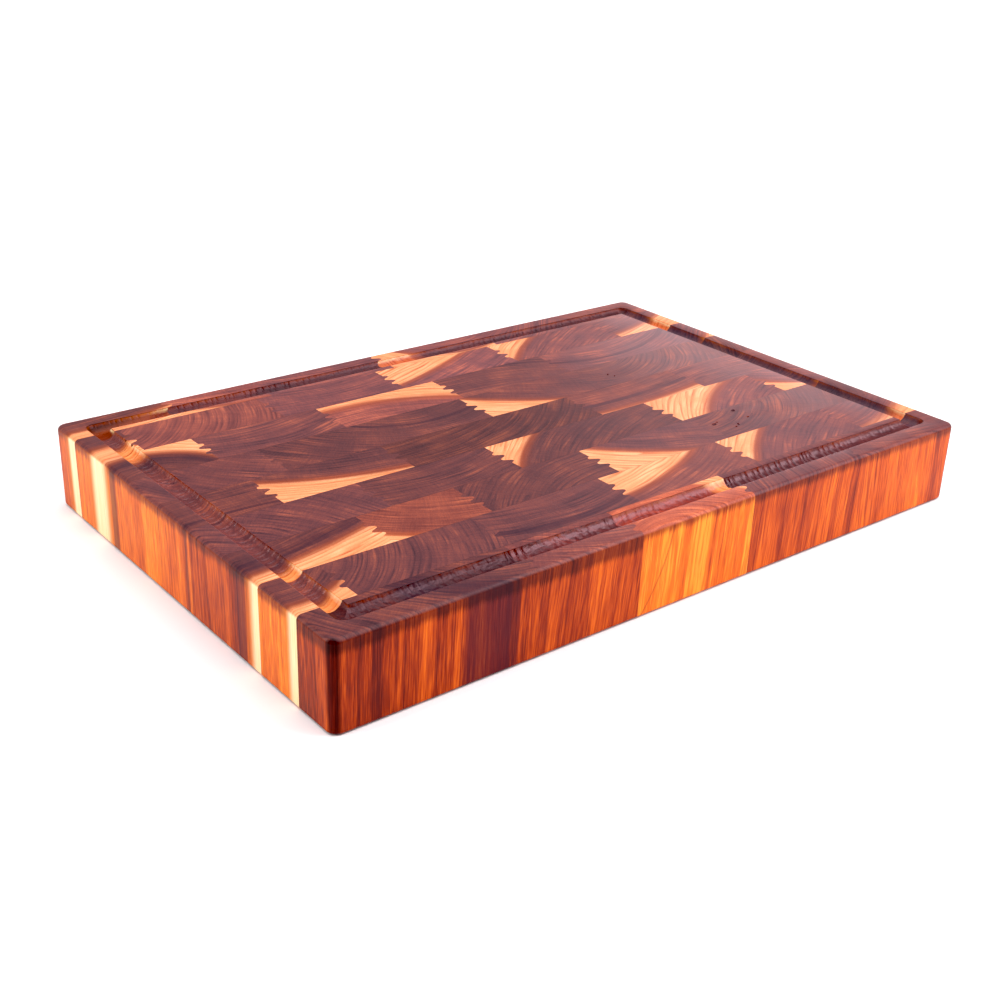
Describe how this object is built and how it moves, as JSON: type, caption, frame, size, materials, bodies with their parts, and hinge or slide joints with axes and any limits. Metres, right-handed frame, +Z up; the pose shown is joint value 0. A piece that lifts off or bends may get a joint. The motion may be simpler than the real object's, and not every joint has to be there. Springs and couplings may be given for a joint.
{
  "type": "cutting board",
  "caption": "Thick rectangular end-grain wooden cutting board: strips of finger-jointed blocks, a round-bottomed juice groove near the rim, rounded corners and edges.",
  "frame": {"origin": "middle of the underside, on the surface that the board rests on", "axes": "+X along the board's length, +Y across its width, +Z up through its thickness"},
  "size_m": [0.4572, 0.3048, 0.0508],
  "materials": {
    "heart_block": "oiled satin",
    "sap_block": "oiled satin"
  },
  "bodies": {
    "root": {"strip_1_block_1": "sap_block", "strip_1_block_2": "heart_block", "strip_1_block_3": "heart_block", "strip_1_block_4": "sap_block", "strip_1_block_5": "heart_block", "strip_1_block_6": "heart_block", "strip_2_block_1": "sap_block", "strip_2_block_2": "heart_block", "strip_2_block_3": "heart_block", "strip_2_block_4": "sap_block", "strip_2_block_5": "sap_block", "strip_2_block_6": "sap_block", "strip_3_block_1": "sap_block", "strip_3_block_2": "heart_block", "strip_3_block_3": "sap_block", "strip_3_block_4": "heart_block", "strip_3_block_5": "heart_block", "strip_4_block_1": "heart_block", "strip_4_block_2": "heart_block", "strip_4_block_3": "sap_block", "strip_4_block_4": "heart_block", "strip_5_block_1": "heart_block", "strip_5_block_2": "sap_block", "strip_5_block_3": "heart_block", "strip_5_block_4": "sap_block", "strip_5_block_5": "heart_block", "strip_6_block_1": "heart_block", "strip_6_block_2": "heart_block", "strip_6_block_3": "sap_block", "strip_6_block_4": "sap_block", "strip_6_block_5": "sap_block", "strip_7_block_1": "sap_block", "strip_7_block_2": "heart_block", "strip_7_block_3": "heart_block", "strip_7_block_4": "sap_block", "strip_7_block_5": "heart_block", "strip_8_block_1": "sap_block", "strip_8_block_2": "heart_block", "strip_8_block_3": "heart_block", "strip_8_block_4": "sap_block", "strip_8_block_5": "sap_block", "strip_8_block_6": "sap_block", "strip_9_block_1": "heart_block", "strip_9_block_2": "heart_block", "strip_9_block_3": "heart_block", "strip_9_block_4": "heart_block", "strip_9_block_5": "heart_block"}
  },
  "joints": []
}
